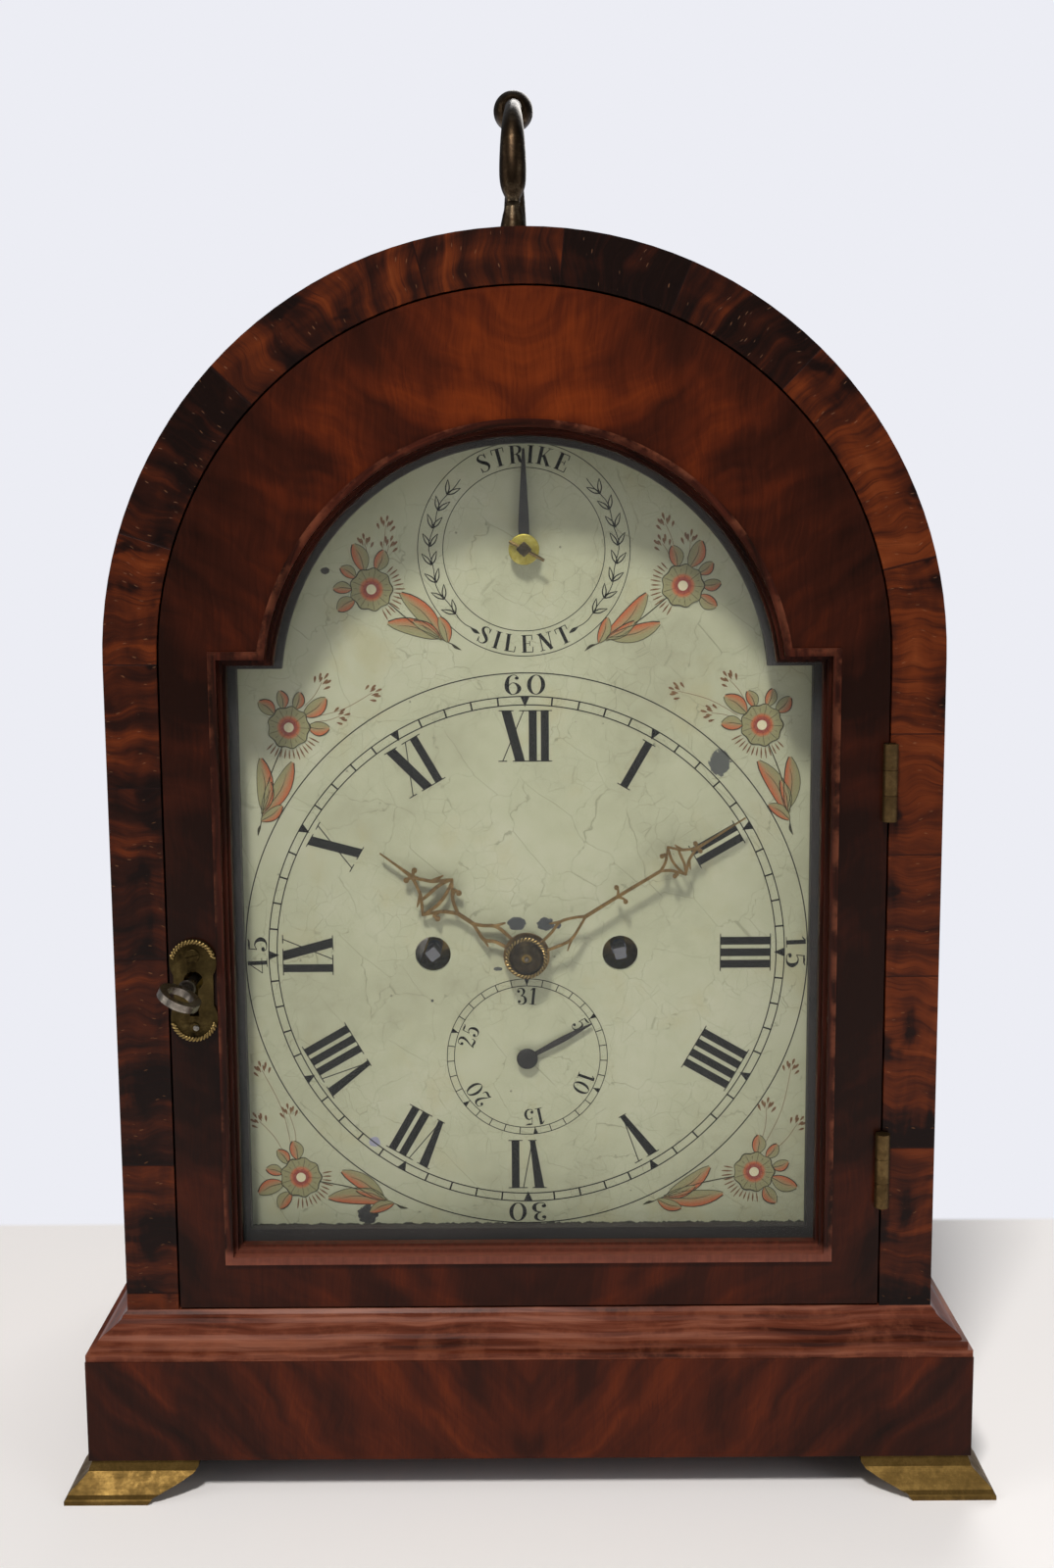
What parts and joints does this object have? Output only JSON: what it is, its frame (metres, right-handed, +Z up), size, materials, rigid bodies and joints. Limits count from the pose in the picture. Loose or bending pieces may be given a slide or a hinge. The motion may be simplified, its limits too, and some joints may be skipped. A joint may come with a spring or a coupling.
{
  "type": "bracket clock",
  "caption": "Round-topped wooden bracket clock with a glazed front door, painted dial, brass bracket feet, carrying handle, bell and wound movement.",
  "frame": {"origin": "on the shelf, at the middle of the bounding box in plan", "axes": "the dial faces -Y, +X is to the viewer's right, +Z is up"},
  "size_m": [0.312, 0.22, 0.4824],
  "materials": {
    "mahogany": "polished",
    "rosewood": "polished",
    "sight_mahogany": "polished",
    "dark_mahogany": "stained",
    "oak": "plain",
    "gilt_brass": "aged gilt",
    "brass": "satin",
    "steel": "satin",
    "blued_steel": "dark",
    "painted_dial": "satin",
    "bell_metal": "turned",
    "gut": "twisted",
    "glass": "clear"
  },
  "bodies": {
    "case": {"carcass": "mahogany", "front_frame": "rosewood", "dial_mask": "dark_mahogany", "rear_frame": "mahogany", "base_moulding": "mahogany", "plinth": "mahogany", "base_board": "oak", "seat_board": "oak", "bracket_feet": "gilt_brass", "handle_mounts": "gilt_brass", "side_frets": "brass", "case_hinges": "brass", "dial_plate": "painted_dial", "front_plate": "brass", "back_plate": "brass", "hour_bridge": "brass", "pendulum_cock": "brass", "bell_stand": "steel", "bell": "bell_metal", "gut_lines": "gut"},
    "front_door": {"front_door_frame": "mahogany", "sight_moulding": "sight_mahogany", "front_glass": "glass", "front_door_hinge_leaves": "brass", "escutcheon": "brass", "lock_case": "brass"},
    "door_key": {"door_key": "steel"},
    "lock_bolt": {"lock_bolt": "brass"},
    "rear_door": {"rear_door_frame": "mahogany", "rear_glass": "glass", "rear_door_hinge_leaves": "brass"},
    "rear_latch": {"rear_door_latch": "brass"},
    "handle": {"carrying_handle": "gilt_brass"},
    "minute_hand": {"minute_hand": "gilt_brass", "cannon_pinion": "brass", "hand_collet": "gilt_brass"},
    "hour_hand": {"hour_hand": "gilt_brass", "hour_wheel": "brass"},
    "minute_wheel": {"minute_wheel": "brass"},
    "date_driver": {"date_driver": "brass"},
    "date_hand": {"date_hand": "blued_steel", "date_wheel": "brass"},
    "strike_silent": {"strike_silent_hand": "blued_steel"},
    "going_barrel": {"going_barrel": "brass"},
    "going_fusee": {"going_fusee": "brass"},
    "centre_wheel": {"centre_wheel": "brass"},
    "third_wheel": {"third_wheel": "brass"},
    "escape_wheel": {"escape_wheel": "brass"},
    "pallets": {"pallets": "steel"},
    "pendulum": {"pendulum": "brass"},
    "strike_barrel": {"strike_barrel": "brass"},
    "strike_fusee": {"strike_fusee": "brass"},
    "pin_wheel": {"pin_wheel": "brass"},
    "gathering_wheel": {"gathering_wheel": "brass"},
    "warning_wheel": {"warning_wheel": "brass"},
    "fly": {"fly": "brass"},
    "hammer": {"hammer": "steel"},
    "rack": {"rack": "steel"},
    "rack_hook": {"rack_hook": "steel"},
    "lifting_piece": {"lifting_piece": "steel"}
  },
  "joints": [
    {"name": "front_door_swing", "type": "hinge", "parent": "case", "child": "front_door", "pos_m": [0.11915, -0.0788, 0.18], "axis": [0, 0, 1], "range_deg": [0, 110]},
    {"name": "key_turn", "type": "hinge", "parent": "front_door", "child": "door_key", "pos_m": [-0.1106, -0.077, 0.1752], "axis": [0, -1, 0], "range_deg": [0, 243]},
    {"name": "bolt_throw", "type": "slide", "parent": "front_door", "child": "lock_bolt", "axis": [-1, 0, 0], "range_m": [0, 0.005]},
    {"name": "rear_door_swing", "type": "hinge", "parent": "case", "child": "rear_door", "pos_m": [0.11915, 0.1028, 0.18], "axis": [0, 0, -1], "range_deg": [0, 110]},
    {"name": "latch_turn", "type": "hinge", "parent": "rear_door", "child": "rear_latch", "pos_m": [-0.108, 0.101, 0.205], "axis": [0, -1, 0], "range_deg": [0, 90]},
    {"name": "handle_swing", "type": "hinge", "parent": "case", "child": "handle", "pos_m": [-0.0029, 0.013, 0.427], "axis": [0, 1, 0], "range_deg": [-90, 90]},
    {"name": "minute_hand_turn", "type": "hinge", "parent": "case", "child": "minute_hand", "pos_m": [0, -0.047, 0.1776], "axis": [0, 1, 0], "continuous": true},
    {"name": "minute_wheel_turn", "type": "hinge", "parent": "case", "child": "minute_wheel", "pos_m": [0.01239, -0.038, 0.19529], "axis": [0, -1, 0], "continuous": true},
    {"name": "hour_hand_turn", "type": "hinge", "parent": "case", "child": "hour_hand", "pos_m": [0, -0.047, 0.1776], "axis": [0, 1, 0], "continuous": true},
    {"name": "date_driver_turn", "type": "hinge", "parent": "case", "child": "date_driver", "pos_m": [0.01319, -0.046, 0.15876], "axis": [0, -1, 0], "continuous": true},
    {"name": "date_hand_turn", "type": "hinge", "parent": "case", "child": "date_hand", "pos_m": [0, -0.05, 0.1406], "axis": [0, 1, 0], "continuous": true},
    {"name": "strike_silent_turn", "type": "hinge", "parent": "case", "child": "strike_silent", "pos_m": [0, -0.051, 0.3166], "axis": [0, 1, 0], "range_deg": [0, 180]},
    {"name": "escape_wheel_turn", "type": "hinge", "parent": "case", "child": "escape_wheel", "pos_m": [0, 0.003, 0.21959], "axis": [0, 1, 0], "continuous": true},
    {"name": "third_wheel_turn", "type": "hinge", "parent": "case", "child": "third_wheel", "pos_m": [0.00937, -0.02, 0.2008], "axis": [0, -1, 0], "continuous": true},
    {"name": "centre_wheel_turn", "type": "hinge", "parent": "case", "child": "centre_wheel", "pos_m": [0, -0.017, 0.1776], "axis": [0, 1, 0], "continuous": true},
    {"name": "going_fusee_turn", "type": "hinge", "parent": "case", "child": "going_fusee", "pos_m": [0.0325, -0.007, 0.1776], "axis": [0, -1, 0], "continuous": true},
    {"name": "going_barrel_turn", "type": "hinge", "parent": "case", "child": "going_barrel", "pos_m": [0.04, -0.007, 0.126], "axis": [0, -1, 0], "continuous": true},
    {"name": "pendulum_swing", "type": "hinge", "parent": "case", "child": "pendulum", "pos_m": [0, 0.035, 0.24189], "axis": [0, 1, 0], "range_deg": [-3, 3]},
    {"name": "pallets_rock", "type": "hinge", "parent": "case", "child": "pallets", "pos_m": [0, 0.003, 0.24189], "axis": [0, 1, 0], "range_deg": [-3, 3]},
    {"name": "fly_turn", "type": "hinge", "parent": "case", "child": "fly", "pos_m": [-0.03426, 0.003, 0.24591], "axis": [0, -1, 0], "continuous": true},
    {"name": "warning_wheel_turn", "type": "hinge", "parent": "case", "child": "warning_wheel", "pos_m": [-0.04056, -0.016, 0.23499], "axis": [0, 1, 0], "continuous": true},
    {"name": "gathering_wheel_turn", "type": "hinge", "parent": "case", "child": "gathering_wheel", "pos_m": [-0.0285, -0.007, 0.22487], "axis": [0, -1, 0], "continuous": true},
    {"name": "pin_wheel_turn", "type": "hinge", "parent": "case", "child": "pin_wheel", "pos_m": [-0.02506, -0.023, 0.20537], "axis": [0, 1, 0], "continuous": true},
    {"name": "strike_fusee_turn", "type": "hinge", "parent": "case", "child": "strike_fusee", "pos_m": [-0.0325, -0.007, 0.1776], "axis": [0, -1, 0], "continuous": true},
    {"name": "strike_barrel_turn", "type": "hinge", "parent": "case", "child": "strike_barrel", "pos_m": [-0.04, -0.007, 0.126], "axis": [0, -1, 0], "continuous": true},
    {"name": "hammer_lift", "type": "hinge", "parent": "case", "child": "hammer", "pos_m": [-0.052, -0.005, 0.203], "axis": [0, -1, 0], "range_deg": [0, 12], "stiffness_Nm_per_rad": 0.05, "springref_deg": -17.19},
    {"name": "rack_fall", "type": "hinge", "parent": "case", "child": "rack", "pos_m": [-0.044, -0.044, 0.16], "axis": [0, -1, 0], "range_deg": [0, 10]},
    {"name": "rack_hook_lift", "type": "hinge", "parent": "case", "child": "rack_hook", "pos_m": [0.02, -0.044, 0.238], "axis": [0, 1, 0], "range_deg": [0, 8]},
    {"name": "lifting_piece_lift", "type": "hinge", "parent": "case", "child": "lifting_piece", "pos_m": [0.044, -0.04, 0.222], "axis": [0, 1, 0], "range_deg": [0, 8]}
  ],
  "couplings": [
    {"joint": "key_turn", "follows": "bolt_throw", "rad_per_m": 848.15},
    {"joint": "minute_wheel_turn", "follows": "minute_hand_turn", "ratio": 1},
    {"joint": "hour_hand_turn", "follows": "minute_hand_turn", "ratio": 0.083333},
    {"joint": "date_driver_turn", "follows": "minute_hand_turn", "ratio": 0.041667},
    {"joint": "date_hand_turn", "follows": "minute_hand_turn", "ratio": 0.0013441},
    {"joint": "third_wheel_turn", "follows": "escape_wheel_turn", "ratio": 0.090909},
    {"joint": "centre_wheel_turn", "follows": "escape_wheel_turn", "ratio": 0.0075758},
    {"joint": "going_fusee_turn", "follows": "escape_wheel_turn", "ratio": 0.00063131},
    {"joint": "going_barrel_turn", "follows": "escape_wheel_turn", "ratio": 0.00052707},
    {"joint": "pallets_rock", "follows": "pendulum_swing", "ratio": 1},
    {"joint": "warning_wheel_turn", "follows": "fly_turn", "ratio": 0.14286},
    {"joint": "gathering_wheel_turn", "follows": "fly_turn", "ratio": 0.017857},
    {"joint": "pin_wheel_turn", "follows": "fly_turn", "ratio": 0.0022321},
    {"joint": "strike_fusee_turn", "follows": "fly_turn", "ratio": 0.00021259},
    {"joint": "strike_barrel_turn", "follows": "fly_turn", "ratio": 0.00017748}
  ]
}
